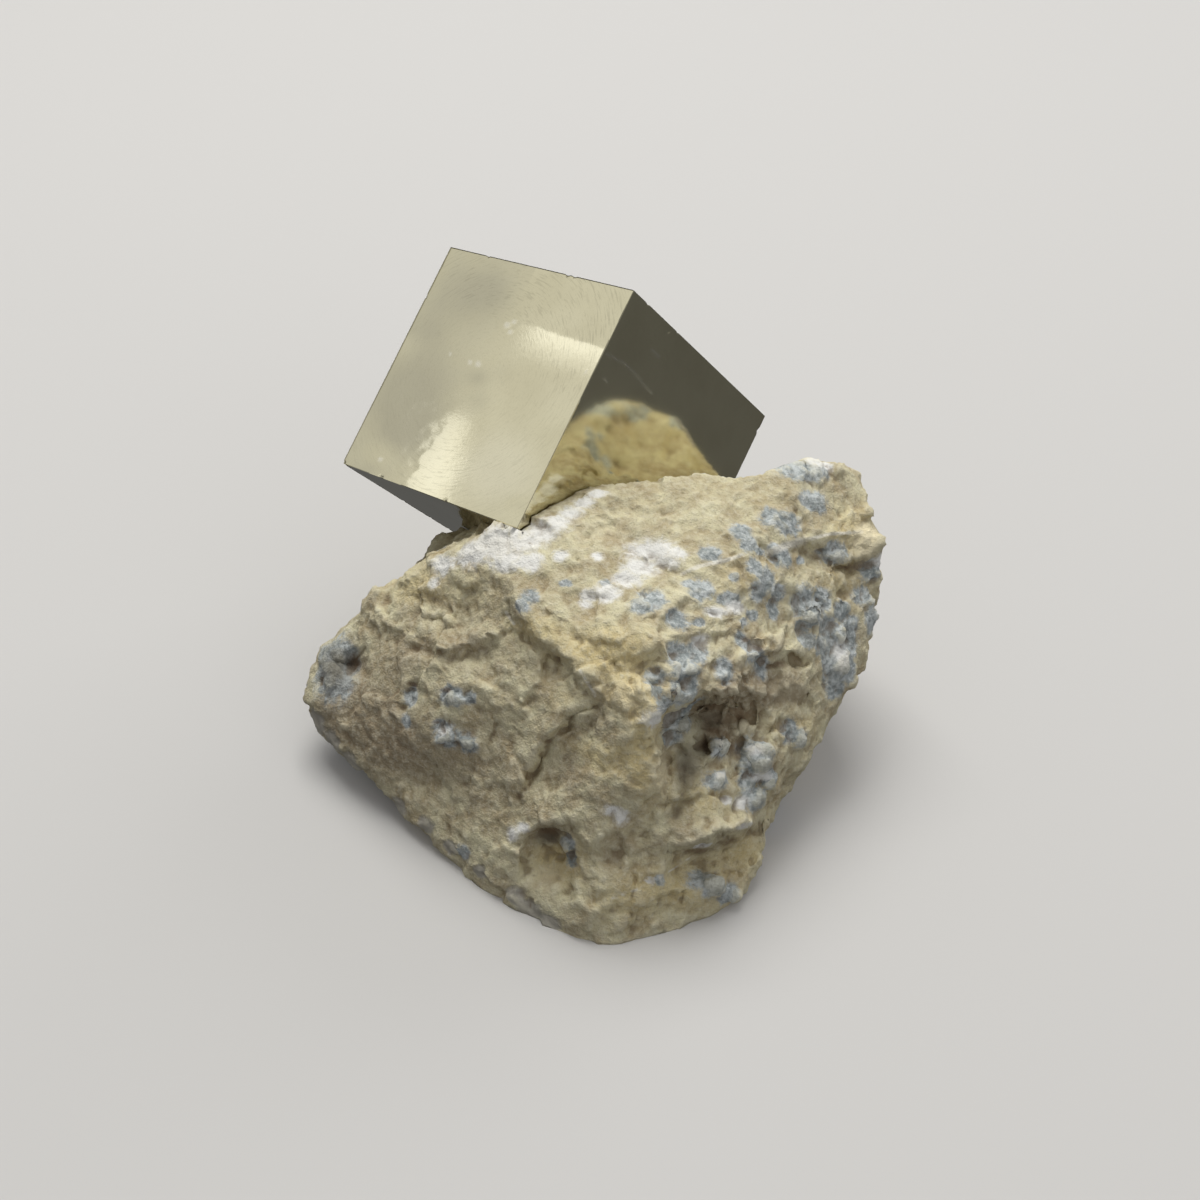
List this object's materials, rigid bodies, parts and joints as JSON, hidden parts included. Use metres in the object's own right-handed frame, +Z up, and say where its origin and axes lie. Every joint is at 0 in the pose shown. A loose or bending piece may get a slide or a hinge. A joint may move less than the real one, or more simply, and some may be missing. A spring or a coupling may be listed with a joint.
{
  "type": "pyrite cube on marl matrix",
  "caption": "A mirror-faced pyrite cube, tilted on its lower corner in a rough wedge of pale marl that stands on a flat base.",
  "frame": {"origin": "On the ground, under the middle of the whole specimen", "axes": "+Z up. The marl's broken front, the bright face of the cube and its darker right face are seen from -Y; +X is to the right in that view"},
  "size_m": [0.0362, 0.0438, 0.0286],
  "materials": {
    "marl": "dull, granular marl, tan with blue-grey mottles and white powdery patches",
    "pyrite": "natural crystal faces of pale brass colour, mirror-like, with fine growth lines"
  },
  "bodies": {
    "root": {"marl_matrix": "marl", "pyrite_cube": "pyrite"}
  },
  "joints": []
}
